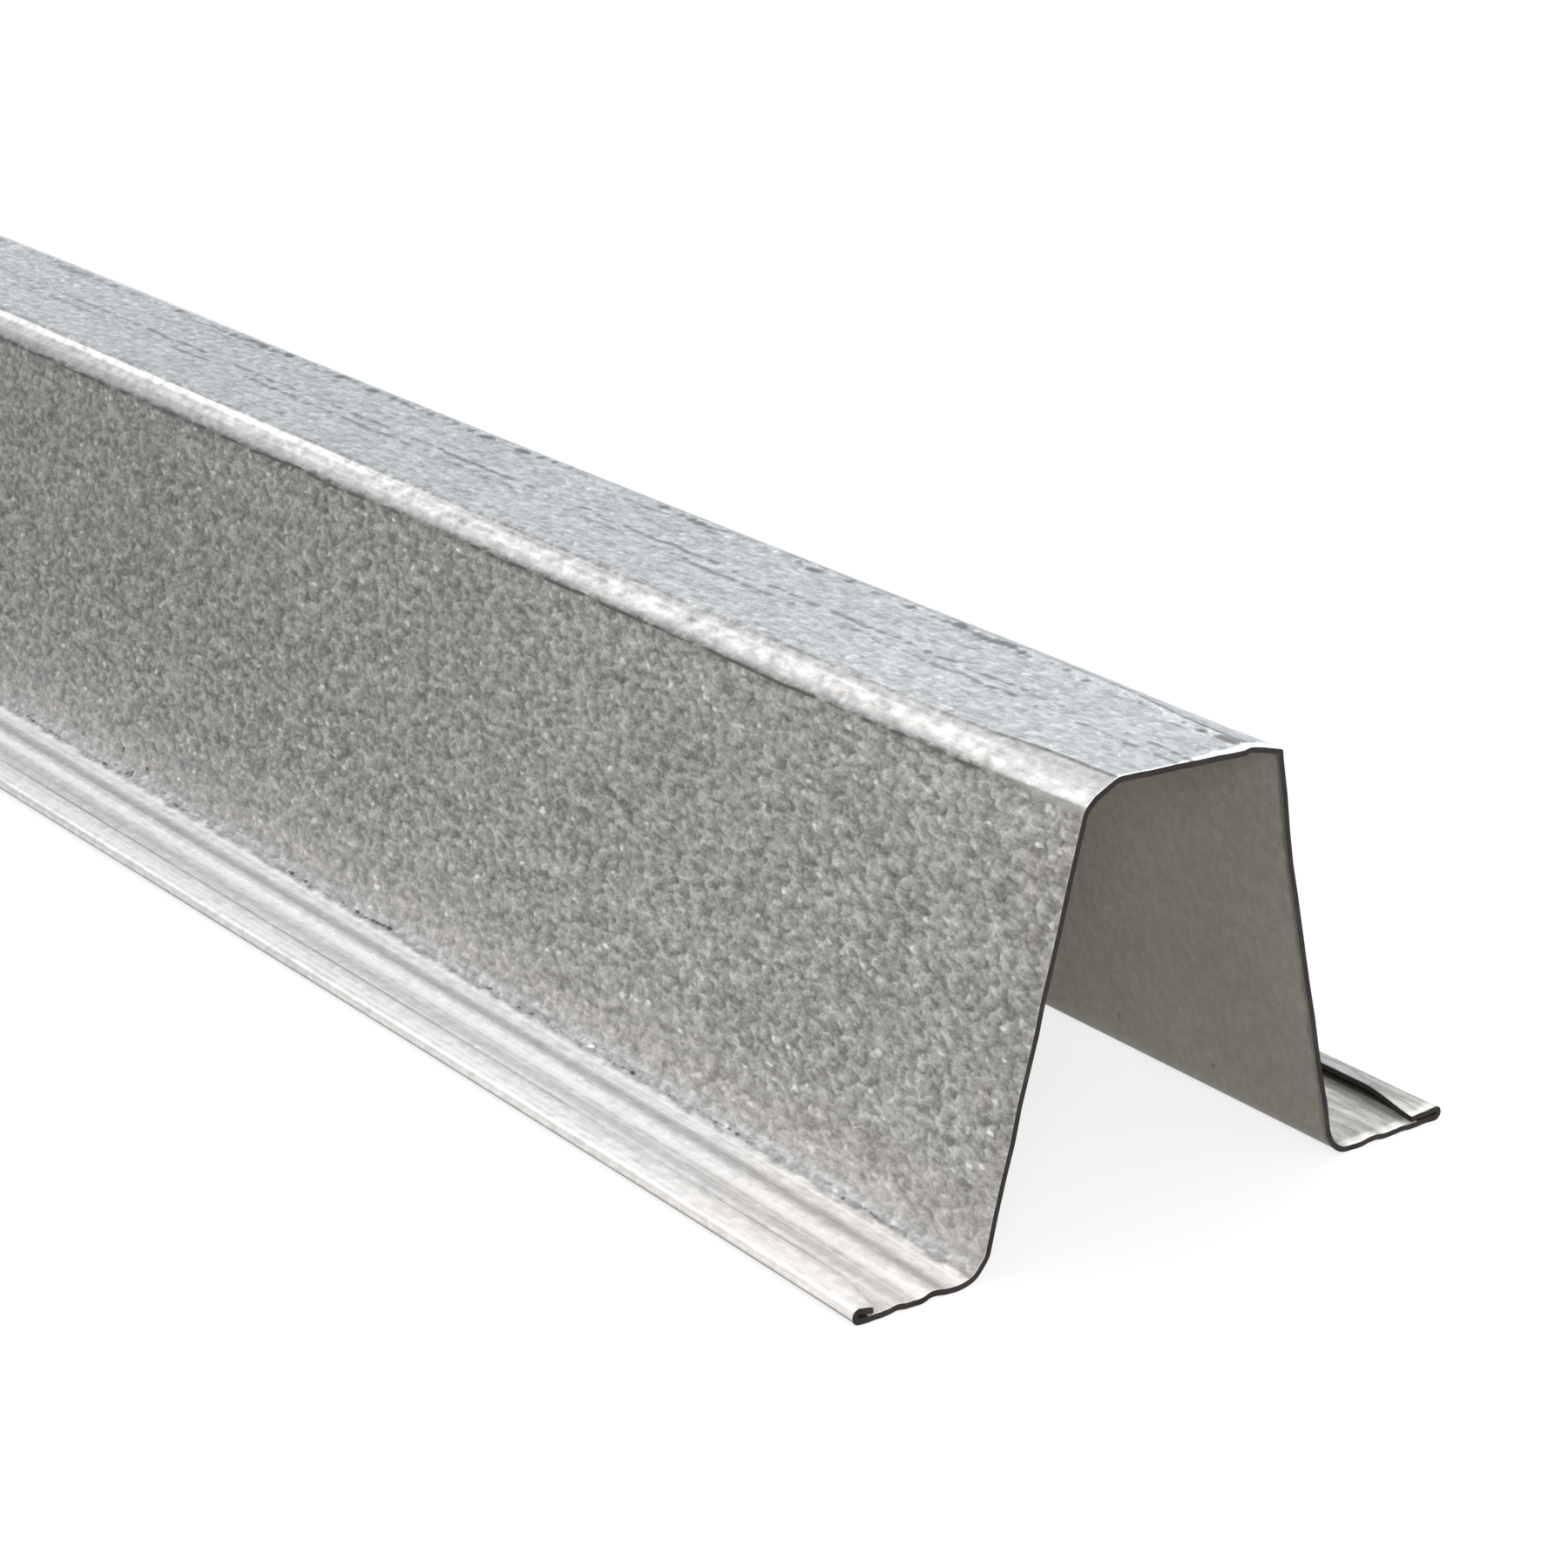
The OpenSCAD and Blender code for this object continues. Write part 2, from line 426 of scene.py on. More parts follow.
# Fine zinc spangle: soft crystals about a millimetre wide, a few that flash, and broad clouds
def spangleGroup():
    group, given, out = newGroup(
        "zincSpangle",
        [("Place", "Vector"), ("Grain", "Float"), ("Flash Share", "Float"), ("Cloud Size", "Float")],
        [("Tone", "Float"), ("Flash", "Float"), ("Height", "Float"), ("Cloud", "Float")],
    )
    scale = maths(group, "DIVIDE", 1.0, given["Grain"])
    wobble = addNode(group, "ShaderNodeTexNoise", {"Vector": given["Place"], "Scale": scale, "Detail": 1.0})
    wobble = vectors(group, "SUBTRACT", wobble.outputs["Color"], (0.5, 0.5, 0.5))
    bent = vectors(group, "ADD", given["Place"], scaled(group, wobble, given["Grain"]))
    cells = addNode(group, "ShaderNodeTexVoronoi", {"Vector": bent, "Scale": scale}).outputs
    crystal = addNode(group, "ShaderNodeSeparateColor", {"Color": cells["Color"]}).outputs
    soft = noise(group, {"Vector": bent, "Scale": scale, "Detail": 3.0, "Roughness": 0.62})
    soft = remap(group, soft, *effects["softRange"], 0.0, 1.0)
    worn = maths(group, "POWER", soft, effects["softCurve"])
    evenShare, wornShare = effects["tone"]
    tone = maths(group, "MULTIPLY_ADD", crystal[0], evenShare, maths(group, "MULTIPLY", worn, wornShare))
    group.links.new(tone, out["Tone"])
    picked = maths(group, "LESS_THAN", crystal[1], given["Flash Share"])
    core = remap(group, cells["Distance"], *effects["flashCore"], 1.0, 0.0, smooth=True)
    group.links.new(maths(group, "MULTIPLY", picked, core), out["Flash"])
    group.links.new(maths(group, "MULTIPLY_ADD", core, effects["coreHeight"], soft), out["Height"])
    cloudScale = maths(group, "DIVIDE", 1.0, given["Cloud Size"])
    cloud = noise(group, {"Vector": given["Place"], "Scale": cloudScale, "Detail": 2.0})
    group.links.new(cloud, out["Cloud"])
    return group


# Long fine streaks that the rolls leave along the strip
def streakGroup():
    group, given, out = newGroup(
        "rollStreaks",
        [("Strip", "Vector"), ("Wide", "Float"), ("Long", "Float")],
        [("Streak", "Float")],
    )
    perLong, perWide = (maths(group, "DIVIDE", 1.0, given[name]) for name in ("Long", "Wide"))
    squeeze = addNode(group, "ShaderNodeCombineXYZ", {0: perLong, 1: perWide}).outputs[0]
    spot = vectors(group, "MULTIPLY", given["Strip"], squeeze)
    inputs = {"Vector": spot, "Scale": 1.0, "Detail": 3.0, "Roughness": 0.6}
    streak = noise(group, inputs, noise_dimensions="2D")
    group.links.new(remap(group, streak, *effects["streakRange"], 0.0, 1.0), out["Streak"])
    return group


# One broken line pressed along the strip, at a set distance across it
def markGroup():
    group, given, out = newGroup(
        "rollMark",
        [("Strip", "Vector"), ("Line", "Float"), ("Wide", "Float"), ("Dash", "Float"), ("Cover", "Float")],
        [("Mark", "Float")],
    )
    part = addNode(group, "ShaderNodeSeparateXYZ", {0: given["Strip"]}).outputs
    dashes = maths(group, "DIVIDE", part[0], given["Dash"])
    seat = maths(group, "MULTIPLY_ADD", given["Line"], effects["markSpacing"], dashes)
    dash = noise(group, {"W": seat, "Scale": 1.0, "Detail": 2.5}, noise_dimensions="1D")
    often, strong = effects["markStretch"]
    stretch = noise(group, {"W": seat, "Scale": often, "Detail": 1.0}, noise_dimensions="1D")
    dash = maths(group, "MULTIPLY_ADD", centred(group, stretch), strong, dash)
    often, strong = effects["markSway"]
    sway = noise(group, {"W": seat, "Scale": often, "Detail": 1.0}, noise_dimensions="1D")
    sway = maths(group, "MULTIPLY", centred(group, sway), strong)
    line = maths(group, "MULTIPLY_ADD", sway, given["Wide"], given["Line"])
    off = maths(group, "ABSOLUTE", maths(group, "SUBTRACT", part[1], line))
    edge = maths(group, "SUBTRACT", 1.0, given["Cover"])
    shown = remap(group, dash, edge, maths(group, "ADD", edge, effects["markRise"]), 0.0, 1.0)
    thick = maths(group, "MULTIPLY", given["Wide"], shown)
    core = maths(group, "MULTIPLY", thick, effects["markCore"])
    mark = remap(group, off, core, thick, 1.0, 0.0, smooth=True)
    strength = maths(group, "POWER", shown, effects["markCurve"])
    group.links.new(maths(group, "MULTIPLY", mark, strength), out["Mark"])
    return group


# Where the shear rubbed the sheet bright beside its cut ends
def rubGroup():
    group, given, out = newGroup(
        "shearRub",
        [("Strip", "Vector"), ("Half Length", "Float"), ("Reach", "Float")],
        [("Rub", "Float")],
    )
    part = addNode(group, "ShaderNodeSeparateXYZ", {0: given["Strip"]}).outputs
    toEnd = maths(group, "SUBTRACT", given["Half Length"], maths(group, "ABSOLUTE", part[0]))
    uneven = noise(group, {"W": part[1], "Scale": effects["rubScale"], "Detail": 2.0}, noise_dimensions="1D")
    least, more = effects["rubSpan"]
    reach = maths(group, "MULTIPLY", given["Reach"], maths(group, "MULTIPLY_ADD", uneven, more, least))
    near = maths(group, "MULTIPLY", reach, effects["rubCore"])
    group.links.new(remap(group, toEnd, near, reach, 1.0, 0.0, smooth=True), out["Rub"])
    return group


# Specks of dirt, gathered in patches
def dirtGroup(spangle):
    group, given, out = newGroup(
        "dirtSpecks",
        [("Place", "Vector"), ("Size", "Float"), ("Share", "Float")],
        [("Dirt", "Float")],
    )
    specks = placeGroup(group, spangle, {"Place": given["Place"], "Grain": given["Size"],
                                         "Flash Share": given["Share"], "Cloud Size": effects["dirtPatch"]})
    patch = remap(group, specks["Cloud"], *effects["patchRange"], 0.0, effects["patchShare"])
    group.links.new(maths(group, "MULTIPLY", specks["Flash"], patch), out["Dirt"])
    return group


def makeGroups():
    spangle = spangleGroup()
    return {"spangle": spangle, "streak": streakGroup(), "mark": markGroup(), "rub": rubGroup(),
            "dirt": dirtGroup(spangle)}


# A material with its tree, its shader and the place that its grain works from
def newMaterial(name):
    material = bpy.data.materials.new(name)
    material.use_nodes = True
    tree = material.node_tree
    place = addNode(tree, "ShaderNodeTexCoord").outputs["Object"]
    return material, tree, tree.nodes["Principled BSDF"], place


# A point on the flat strip: its vector, its place across, its millimetres from the middle of the crown,
# and its distance from the nearer cut end
def stripPlaces(tree, halfLength):
    strip = addNode(tree, "ShaderNodeUVMap", uv_map="strip").outputs[0]
    part = addNode(tree, "ShaderNodeSeparateXYZ", {0: strip}).outputs
    away = maths(tree, "MULTIPLY", maths(tree, "ABSOLUTE", part[1]), 1000.0)
    toEnd = maths(tree, "SUBTRACT", halfLength, maths(tree, "ABSOLUTE", part[0]))
    return strip, part[1], away, toEnd


# One inside a zone across the strip, and nothing outside it
def zone(tree, place, start, full, fade, end):
    rise = remap(tree, place, start, full, 0.0, 1.0, True)
    return maths(tree, "MULTIPLY", rise, remap(tree, place, fade, end, 1.0, 0.0, True))


def streaks(tree, groups, strip, size):
    return placeGroup(tree, groups["streak"], {"Strip": strip, "Wide": size[0], "Long": size[1]})["Streak"]


def specks(tree, groups, place, look):
    inputs = {"Place": place, "Size": look["dirtSize"], "Share": look["dirtShare"]}
    return placeGroup(tree, groups["dirt"], inputs)["Dirt"]


def addBump(tree, shader, look, height):
    inputs = {"Strength": look["bump"], "Distance": look["bumpDepth"], "Height": height}
    tree.links.new(addNode(tree, "ShaderNodeBump", inputs).outputs[0], shader.inputs["Normal"])


def rubbed(tree, groups, strip, halfLength, reach):
    return placeGroup(tree, groups["rub"], {"Strip": strip, "Half Length": halfLength, "Reach": reach})["Rub"]


# Zinc on the outer face of the sheet. Levels are how light the zinc is, by millimetres across the strip
# from the middle of the crown. They hold the zinc's own tone, burnished on the facets, feet and flanges and
# duller on the webs. They also hold painted light and shade: painted highlights on the facets and on the ribs'
# outer flanks, painted shade on the webs, in the creases, on the ribs' inner flanks and at the hems' fold,
# and painted bounce light on the webs towards their feet.
# Zones are in the same millimetres: where they start, are full, begin to fade and end.
outerZinc = {
    "crownTint": (0.985, 0.99, 0.98, 1),
    "crownLength": (0.23, 0.34),   # away from the cut ends the crown is painted lighter, as painted light, and is warmer, with fainter marks
    "crownPaintedLight": 0.17,
    "crownFarTint": (1.0, 0.965, 0.945, 1),
    "crownMarkShare": 0.5,
    "webTint": (1.0, 0.985, 0.95, 1),
    "facetTint": (1.0, 0.975, 0.965, 1),
    "flangeTint": (1.0, 0.982, 0.975, 1),    # and the feet of the webs
    "endTint": (1.0, 0.955, 0.93, 1),        # flanges beside the cut ends
    "endTintReach": (0.028, 0.055),
    "farFlangeTint": (1.0, 0.965, 0.87, 1),
    # painted highlights on the facets, and painted shade in the creases and on the webs, are part of these
    # levels
    "upperLevels": (
        (9.0, 0.45), (11.9, 0.45), (12.6, 0.43), (13.1, 0.43), (13.6, 0.43), (14.1, 0.45), (14.7, 0.48),
        (15.6, 0.485), (16.3, 0.44), (17.0, 0.40), (17.6, 0.36), (18.1, 0.335), (18.6, 0.35), (19.3, 0.37),
        (22.5, 0.378), (28.0, 0.356), (50.0, 0.353)),
    # painted bounce light up the webs to their feet, painted shade in the foot crease and on the ribs' inner
    # flanks, painted highlights on their outer flanks
    "lowerLevels": (
        (50.0, 0.353), (61.3, 0.38), (68.0, 0.41), (73.0, 0.45), (75.8, 0.55), (77.0, 0.57), (77.9, 0.57),
        (78.8, 0.44), (79.7, 0.37), (80.3, 0.52), (80.8, 0.76), (81.5, 0.87), (82.7, 0.83), (83.4, 0.66),
        (84.2, 0.56), (84.9, 0.52), (85.5, 0.58), (86.1, 0.72), (86.9, 0.79), (87.6, 0.94), (88.4, 0.99),
        (88.9, 0.76), (89.6, 0.70), (92.6, 0.69), (94.3, 0.62), (97.9, 0.46), (98.3, 0.80), (98.9, 0.88),
        (100.7, 0.87), (101.7, 0.81), (102.9, 0.75)),
    "lightest": 0.92,
    "farFlangeShadeShares": (0.72, 0.45),          # painted shade: the far flange is painted darker, most of all at the cut ends
    "nearCutReach": (0.05, 0.11),
    "rollPaintedShade": 0.92,             # painted shade: the underside of the hems' fold is painted dark
    "rollZone": (96.8, 97.4, 98.16, 98.27),
    "crownZone": (12.2, 12.8),
    "facetZone": (12.6, 13.2, 17.0, 18.0),
    "flangeZone": (79.8, 80.5),
    "footZone": (62.0, 78.0),      # the web's lower part, which the levels lighten towards its foot as painted bounce light
    "paintedHighlight": 0.34,               # painted highlight: a bright line painted along the facets, which comes and goes along the length
    "paintedHighlightZone": (12.9, 13.3, 13.9, 14.5),
    "paintedHighlightWave": 0.62,
    "paintedHighlightSwing": (0.3, -0.6),   # of the wave's cosine, where the line begins and where it is full
    "endPaintedHighlight": 0.07,             # painted highlight and painted shade: the facets are painted lighter at the cut ends, under a crease painted darker
    "endPaintedCreaseShade": 0.22,
    "creaseZone": (12.2, 12.5, 12.7, 13.0),
    "endPaintedReach": (0.012, 0.04),
    "webPaintedShade": 0.17,               # painted shade: the webs are painted darker away from the cut ends
    "webPaintedShadeReach": (0.03, 0.25),
    "facetSpread": 1.1,            # how far the facets' bright lower edge, a painted highlight, spreads down at the cut ends
    "spreadReach": (0.006, 0.026),
    "spreadZone": (14.6, 16.4, 19.4, 21.5),
    "ragged": 1.7,                 # how far the grain breaks the edges of the light bands, which are partly burnish and partly painted highlight
    "raggedZone": (14.4, 16.4, 80.2, 81.6),
    "mark": (0.11, 0.105, 0.105, 1),
    "markSpread": 0.015,           # roll marks further out than this, in metres, fade at the cut ends
    "footMark": 0.05,              # and further than this they hold dirt
    "metallic": 0.5,
    "roughness": (0.34, 0.52),     # light and dark crystals
    "facetRough": 0.8,             # share of the roughness left on the facets
    "drawn": (0.62, 1.0, 1.0),     # the rolls draw the grain out along the strip
    "grain": 0.00115,
    "contrast": 1.47,
    "grainFloor": 0.2,
    "crownGrain": 0.6,             # shares of the grain left on the crown, feet, facets and flanges
    "footGrain": 0.7,
    "facetGrain": 0.3,
    "flangeGrain": 0.22,
    "flashShare": 0.065,
    "flash": 0.85,
    "streak": (0.05, 0.38),        # on the grainy parts, and where they are burnished
    "streakSize": (0.0005, 0.3),   # width and length
    "farStreak": 0.8,              # short wavy scuffs on the far flange
    "scuffSize": (0.0016, 0.012),
    "swirl": (0.004, 0.009, 0.0),
    "swirlScale": 75.0,
    "blotch": (1.6, 0.6),          # on the facets and on the flanges
    "blotchScale": 680.0,
    "cloud": 0.12,
    "cloudSize": 0.022,
    "scratch": 0.3,                # on the crown
    "scratchSize": (0.0007, 0.0045),
    "scratchRange": (0.84, 1.0),
    "dirt": (0.04, 0.034, 0.032, 1),
    "dirtSize": 0.0016,
    "dirtShare": 0.12,
    "dirtZone": (66.0, 76.5, 79.3, 80.1),
    "rubLevel": 0.92,
    "rubPlaces": (-0.004, 0.016),  # across the crown, where the shear begins to rub wider and is widest
    "rubReach": (0.0002, 0.0021),
    "rubShares": (0.1, 0.15, 0.4),           # on the webs, the near facet and the flanges
    "rust": (0.30, 0.17, 0.12, 1),           # faint stains beside the cut ends
    "rustShare": 0.4,
    "rustReach": 0.009,
    "rustScale": 110.0,
    "rustRange": (0.5, 0.68),
    "bump": 0.1,
    "bumpDepth": 0.0002,
}
# Lines that the rolls press into the outer face: place across, width, dash length, cover and depth of tone
rollMarks = [
    (-0.0015, 0.0008, 0.003, 0.62, 0.7),
    (0.0011, 0.0008, 0.003, 0.66, 0.75),
    (0.0058, 0.0007, 0.004, 0.42, 0.5),
    (0.0096, 0.0008, 0.004, 0.48, 0.65),
    (0.0113, 0.0012, 0.0035, 0.58, 0.95),
    (-0.0126, 0.0004, 0.012, 0.56, 0.35),
    (0.0182, 0.0006, 0.0025, 0.56, 0.85),
    (-0.0181, 0.00036, 0.005, 0.68, 1.0),
    (-0.0796, 0.0005, 0.0022, 0.46, 1.0),
    (0.0796, 0.0005, 0.0022, 0.46, 1.0),
    (-0.0929, 0.0005, 0.08, 0.76, 0.36),
    (0.0929, 0.0005, 0.08, 0.76, 0.36),
]


# How much a point is on each part of the section. The grain breaks the edges of the light bands, which are
# partly burnish and partly painted highlight.
def sectionMasks(tree, across, away, toEnd, blotch):
    look = outerZinc
    loose = zone(tree, away, *look["raggedZone"])
    ragged = maths(tree, "MULTIPLY_ADD", maths(tree, "MULTIPLY", blotch, look["ragged"]), loose, away)
    spread = remap(tree, toEnd, *look["spreadReach"], look["facetSpread"], 0.0, True)
    spread = maths(tree, "MULTIPLY", spread, zone(tree, away, *look["spreadZone"]))
    ragged = maths(tree, "SUBTRACT", ragged, spread)
    crown = remap(tree, away, *look["crownZone"], 1.0, 0.0, True)
    facet = zone(tree, ragged, *look["facetZone"])
    flange = remap(tree, ragged, *look["flangeZone"], 0.0, 1.0, True)
    belowFacet = remap(tree, ragged, *look["facetZone"][2:], 0.0, 1.0, True)
    farSide = maths(tree, "GREATER_THAN", across, 0.0)
    farFlange = maths(tree, "MULTIPLY", flange, farSide)
    nearCut = remap(tree, toEnd, *look["nearCutReach"], 1.0, 0.0, True)
    longWay = remap(tree, toEnd, *look["crownLength"], 0.0, 1.0, True)
    return {
        "ragged": ragged,
        "crown": crown,
        "longCrown": maths(tree, "MULTIPLY", longWay, crown),
        "facet": facet,
        "nearFacet": maths(tree, "MULTIPLY", facet, maths(tree, "SUBTRACT", 1.0, farSide)),
        "web": maths(tree, "MULTIPLY", belowFacet, maths(tree, "SUBTRACT", 1.0, flange)),
        "foot": remap(tree, away, *look["footZone"], 0.0, 1.0, True),
        "flange": flange,
        "farFlange": farFlange,
        "nearCut": nearCut,
        "farFlangeNearCut": maths(tree, "MULTIPLY", farFlange, nearCut),
    }


# Level of the zinc over the section, before its grain: its own tone together with painted highlights and
# painted shade
def zincLevel(tree, away, toEnd, on):
    look = outerZinc
    below = maths(tree, "GREATER_THAN", away, look["lowerLevels"][0][0])
    # levels across the section, with their painted highlights and painted shade
    upper, lower = (ramp(tree, on["ragged"], look[name]) for name in ("upperLevels", "lowerLevels"))
    level = mixValue(tree, below, upper, lower)
    # painted shade: the far flange darker, most of all near the cut ends
    farFlangeShadeShare = mixValue(tree, on["nearCut"], *look["farFlangeShadeShares"])
    level = maths(tree, "MULTIPLY", level, mixValue(tree, on["farFlange"], 1.0, farFlangeShadeShare))
    # painted shade under the hems' fold
    paintedRollShade = maths(tree, "MULTIPLY", zone(tree, away, *look["rollZone"]), look["rollPaintedShade"])
    level = maths(tree, "MULTIPLY", level, maths(tree, "SUBTRACT", 1.0, paintedRollShade))
    # painted highlight along the facets, coming and going along the length
    swing = maths(tree, "COSINE", maths(tree, "MULTIPLY", toEnd, 2 * math.pi / look["paintedHighlightWave"]))
    paintedHighlight = remap(tree, swing, *look["paintedHighlightSwing"], 0.0, look["paintedHighlight"], True)
    level = maths(tree, "MULTIPLY_ADD", paintedHighlight, zone(tree, away, *look["paintedHighlightZone"]), level)
    # painted shade: the upper webs darken away from the cut ends
    upperWeb = maths(tree, "MULTIPLY", on["web"], maths(tree, "SUBTRACT", 1.0, on["foot"]))
    fade = remap(tree, toEnd, *look["webPaintedShadeReach"], 0.0, look["webPaintedShade"], True)
    fade = maths(tree, "MULTIPLY", fade, upperWeb)
    level = maths(tree, "MULTIPLY", level, maths(tree, "SUBTRACT", 1.0, fade))
    # painted highlight on the facets at the cut ends, and painted shade in the crease above them
    atEnd = remap(tree, toEnd, *look["endPaintedReach"], 1.0, 0.0, True)
    paintedEndHighlight = maths(tree, "MULTIPLY", maths(tree, "MULTIPLY", atEnd, on["facet"]), look["endPaintedHighlight"])
    level = maths(tree, "MULTIPLY_ADD", level, paintedEndHighlight, level)
    paintedCreaseShade = maths(tree, "MULTIPLY", atEnd, zone(tree, away, *look["creaseZone"]))
    level = maths(tree, "MULTIPLY_ADD", paintedCreaseShade, -look["endPaintedCreaseShade"], level)
    # painted light: the crown is lighter away from the cut ends
    return maths(tree, "MULTIPLY", level, remap(tree, on["longCrown"], 0.0, 1.0, 1.0, 1.0 + look["crownPaintedLight"]))


def zincTint(tree, toEnd, on):
    look = outerZinc
    tint = mixColour(tree, on["crown"], look["webTint"], look["crownTint"])
    tint = mixColour(tree, on["longCrown"], tint, look["crownFarTint"])
    tint = mixColour(tree, on["facet"], tint, look["facetTint"])
    tint = mixColour(tree, on["foot"], tint, look["flangeTint"])
    atEnd = remap(tree, toEnd, *look["endTintReach"], 1.0, 0.0, True)
    flangeTint = mixColour(tree, atEnd, look["flangeTint"], look["endTint"])
    tint = mixColour(tree, on["flange"], tint, flangeTint)
    return mixColour(tree, on["farFlangeNearCut"], tint, look["farFlangeTint"])


def outerMaterial(groups, halfLength):
    look = outerZinc
    material, tree, shader, place = newMaterial("outerZinc")
    strip, across, away, toEnd = stripPlaces(tree, halfLength)
    drawn = vectors(tree, "MULTIPLY", place, look["drawn"])
    inputs = {"Place": drawn, "Grain": look["grain"], "Cloud Size": look["cloudSize"],
              "Flash Share": look["flashShare"]}
    spangle = placeGroup(tree, groups["spangle"], inputs)
    blotch = centred(tree, noise(tree, {"Vector": drawn, "Scale": look["blotchScale"], "Detail": 2.0}))
    on = sectionMasks(tree, across, away, toEnd, blotch)
    # grain, streaks, broad clouds, blotches and scuffs
    share = mixValue(tree, on["crown"], 1.0, look["crownGrain"])
    for part in ("foot", "facet", "flange"):
        share = mixValue(tree, on[part], share, look[part + "Grain"])
    bare = maths(tree, "SUBTRACT", 1.0, share)
    grain = maths(tree, "MULTIPLY", centred(tree, spangle["Tone"]), look["contrast"])
    grain = maths(tree, "MULTIPLY", maths(tree, "MULTIPLY_ADD", spangle["Flash"], look["flash"], grain), share)
    streak = streaks(tree, groups, strip, look["streakSize"])
    streakShare = mixValue(tree, bare, *look["streak"])
    grain = maths(tree, "MULTIPLY_ADD", centred(tree, streak), streakShare, grain)
    grain = maths(tree, "MULTIPLY_ADD", centred(tree, spangle["Cloud"]), look["cloud"], grain)
    blotched = maths(tree, "MULTIPLY", bare, mixValue(tree, on["flange"], *look["blotch"]))
    grain = maths(tree, "MULTIPLY_ADD", blotch, blotched, grain)
    swirl = addNode(tree, "ShaderNodeTexNoise", {"Vector": place, "Scale": look["swirlScale"], "Detail": 1.0})
    swirl = vectors(tree, "SUBTRACT", swirl.outputs["Color"], (0.5, 0.5, 0.5))
    swirl = vectors(tree, "MULTIPLY_ADD", swirl, look["swirl"], strip)
    scuff = centred(tree, streaks(tree, groups, swirl, look["scuffSize"]))
    scuffed = maths(tree, "MULTIPLY", on["farFlangeNearCut"], look["farStreak"])
    grain = maths(tree, "MULTIPLY_ADD", scuff, scuffed, grain)
    level = zincLevel(tree, away, toEnd, on)
    grained = maths(tree, "MAXIMUM", maths(tree, "ADD", grain, 1.0), look["grainFloor"])
    level = maths(tree, "MULTIPLY", level, grained)
    # rubbed bright beside the cut ends, most of all on the crown
    rubReach = remap(tree, across, *look["rubPlaces"], *look["rubReach"])
    rub = rubbed(tree, groups, strip, halfLength, rubReach)
    rubShare = 1.0
    for part, left in zip(("web", "nearFacet", "flange"), look["rubShares"]):
        rubShare = mixValue(tree, on[part], rubShare, left)
    level = mixValue(tree, maths(tree, "MULTIPLY", rub, rubShare), level, look["rubLevel"])
    level = maths(tree, "MINIMUM", level, look["lightest"])
    colour = scaled(tree, zincTint(tree, toEnd, on), level)
    # rust beside the cut ends, dirt by the feet of the webs, scratches on the crown, and roll marks
    stain = noise(tree, {"Vector": place, "Scale": look["rustScale"], "Detail": 3.0})
    stain = remap(tree, stain, *look["rustRange"], 0.0, look["rustShare"])
    stain = maths(tree, "MULTIPLY", stain, remap(tree, toEnd, 0.0, look["rustReach"], 1.0, 0.0))
    colour = mixColour(tree, maths(tree, "MULTIPLY", stain, on["web"]), colour, look["rust"])
    dirt = maths(tree, "MULTIPLY", specks(tree, groups, place, look), zone(tree, away, *look["dirtZone"]))
    colour = mixColour(tree, dirt, colour, look["dirt"])
    scratch = streaks(tree, groups, strip, look["scratchSize"])
    scratch = remap(tree, scratch, *look["scratchRange"], 0.0, look["scratch"])
    colour = mixColour(tree, maths(tree, "MULTIPLY", scratch, on["crown"]), colour, look["mark"])
    endShare = remap(tree, toEnd, *look["spreadReach"], 0.0, 1.0, True)
    longShare = remap(tree, on["longCrown"], 0.0, 1.0, 1.0, look["crownMarkShare"])
    for line, wide, dash, cover, depth in rollMarks:
        inputs = {"Strip": strip, "Line": line, "Wide": wide, "Dash": dash, "Cover": cover}
        mark = placeGroup(tree, groups["mark"], inputs)["Mark"]
        depth = maths(tree, "MULTIPLY", endShare if abs(line) > look["markSpread"] else longShare, depth)
        ink = look["dirt"] if abs(line) > look["footMark"] else look["mark"]
        colour = mixColour(tree, maths(tree, "MULTIPLY", mark, depth), colour, ink)
    tree.links.new(colour, shader.inputs["Base Color"])
    shader.inputs["Metallic"].default_value = look["metallic"]
    rough = remap(tree, grain, -0.5, 0.5, look["roughness"][1], look["roughness"][0])
    rough = maths(tree, "MULTIPLY", rough, mixValue(tree, on["facet"], 1.0, look["facetRough"]))
    tree.links.new(rough, shader.inputs["Roughness"])
    height = maths(tree, "MULTIPLY", spangle["Height"], share)
    height = maths(tree, "MULTIPLY_ADD", streak, streakShare, height)
    addBump(tree, shader, look, height)
    return material


# Zinc on the inner face, duller, and painted darker and browner: painted shade with a painted warm reflection
innerZinc = {
    "tint": (1.0, 0.965, 0.80, 1),
    # these levels are partly painted shade
    "levels": ((0.0, 0.29), (20.0, 0.29), (40.0, 0.26), (76.0, 0.22), (82.0, 0.32), (103.0, 0.32)),
    "mark": (0.06, 0.055, 0.05, 1),
    "metallic": 0.5,
    "specular": 0.5,
    "roughness": (0.5, 0.58),
    "grain": 0.0012,
    "drawn": (1.0, 1.0, 0.7),
    "contrast": 0.36,
    "streak": 0.05,
    "streakSize": (0.0012, 0.06),
    "cloud": 0.3,
    "cloudSize": 0.022,
    "dirtSize": 0.0016,
    "dirtShare": 0.1,
    "dirtZone": (64.0, 75.0, 79.5, 80.8),
    "rubLevel": 0.12,
    "rubReach": 0.0012,
    "endShare": 0.9,               # painted shade: darker towards the cut ends
    "endReach": 0.05,
    "bump": 0.12,
    "bumpDepth": 0.0002,
}
# The same zinc shut up in a hem, painted almost black as painted shade inside the fold
hemShadeZinc = {
    **innerZinc,
    "levels": ((92.0, 0.2), (96.5, 0.03), (103.0, 0.03)),
    "metallic": 0.0,
    "specular": 0.05,
    "roughness": (0.8, 0.9),
    "rubLevel": 0.02,
}


